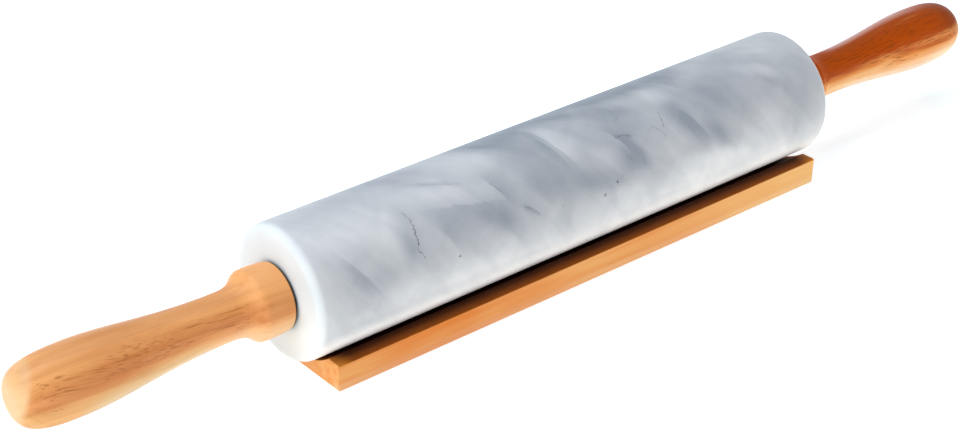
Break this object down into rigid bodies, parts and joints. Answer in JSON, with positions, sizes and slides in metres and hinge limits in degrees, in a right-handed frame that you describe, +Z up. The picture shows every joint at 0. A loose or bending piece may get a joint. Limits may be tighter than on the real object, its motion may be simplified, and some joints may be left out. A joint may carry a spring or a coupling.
{
  "type": "rolling pin with cradle",
  "caption": "Stone rolling pin with turned wooden handles on a steel axle, resting in a grooved wooden cradle it lifts out of.",
  "frame": {"origin": "on the surface it stands on, under the middle of the cradle", "axes": "+X along the pin from the left handle to the right handle, +Y across the cradle to the back, +Z up"},
  "size_m": [0.4624, 0.052, 0.0555],
  "materials": {
    "marble": "polished pale grey marble, softly mottled",
    "left_handle_wood": "turned light hardwood, satin varnish",
    "right_handle_wood": "turned hardwood of a deeper colour, satin varnish",
    "cradle_wood": "sawn and sanded hardwood, satin varnish",
    "steel": "bright drawn steel",
    "brass": "machined brass",
    "white_nylon": "natural nylon",
    "black_nylon": "black nylon"
  },
  "bodies": {
    "cradle": {"cradle": "cradle_wood"},
    "axle_and_handles": {"axle_rod": "steel", "left_thrust_washer": "black_nylon", "right_thrust_washer": "black_nylon", "left_stop_nut": "steel", "right_stop_nut": "steel", "left_threaded_insert": "brass", "right_threaded_insert": "brass", "left_handle": "left_handle_wood", "right_handle": "right_handle_wood"},
    "barrel": {"marble_barrel": "marble", "left_bearing": "white_nylon", "right_bearing": "white_nylon"}
  },
  "joints": [
    {"name": "lift_off", "type": "slide", "parent": "cradle", "child": "axle_and_handles", "axis": [0, 0, 1], "range_m": [0, 0.06]},
    {"name": "barrel_spin", "type": "hinge", "parent": "axle_and_handles", "child": "barrel", "pos_m": [0, 0, 0.0297], "axis": [1, 0, 0], "continuous": true}
  ]
}
